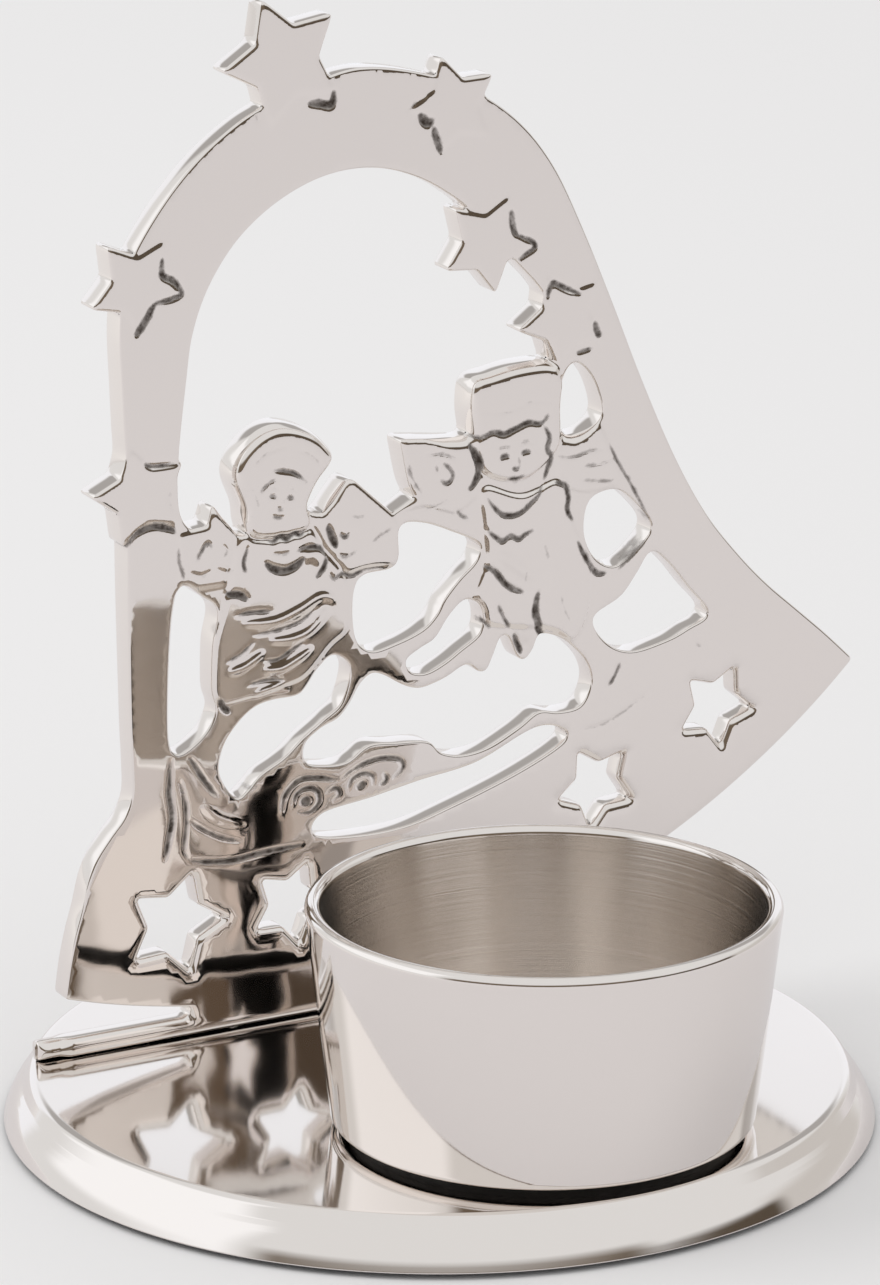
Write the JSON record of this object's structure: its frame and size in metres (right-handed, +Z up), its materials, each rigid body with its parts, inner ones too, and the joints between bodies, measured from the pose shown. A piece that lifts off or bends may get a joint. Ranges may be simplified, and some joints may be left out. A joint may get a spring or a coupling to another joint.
{
  "type": "tea light holder",
  "caption": "Free-standing holder for one tea light: a tapered metal cup in front of an upright openwork bell panel with stars and winged figures, both on a round polished base.",
  "frame": {"origin": "middle of the round base, on the table under its pad", "axes": "+Z up; +X along the bell panel towards its long lip; +Y from the cup towards the panel"},
  "size_m": [0.1104, 0.0936, 0.1194],
  "materials": {
    "polished_plate": "mirror polished nickel plate",
    "cast_plate": "polished nickel plate on a casting, darkened in the engraved lines",
    "cup_metal": "polished outside, fine turned lines inside",
    "pad_felt": "pressed felt",
    "spacer_rubber": "matte",
    "screw_steel": "bright zinc"
  },
  "bodies": {
    "root": {"base_plate": "polished_plate", "felt_pad": "pad_felt", "tealight_cup": "cup_metal", "cup_spacer": "spacer_rubber", "cup_screw": "screw_steel", "bell_panel": "cast_plate", "panel_screws": "screw_steel", "panel_washers": "screw_steel"}
  },
  "joints": []
}
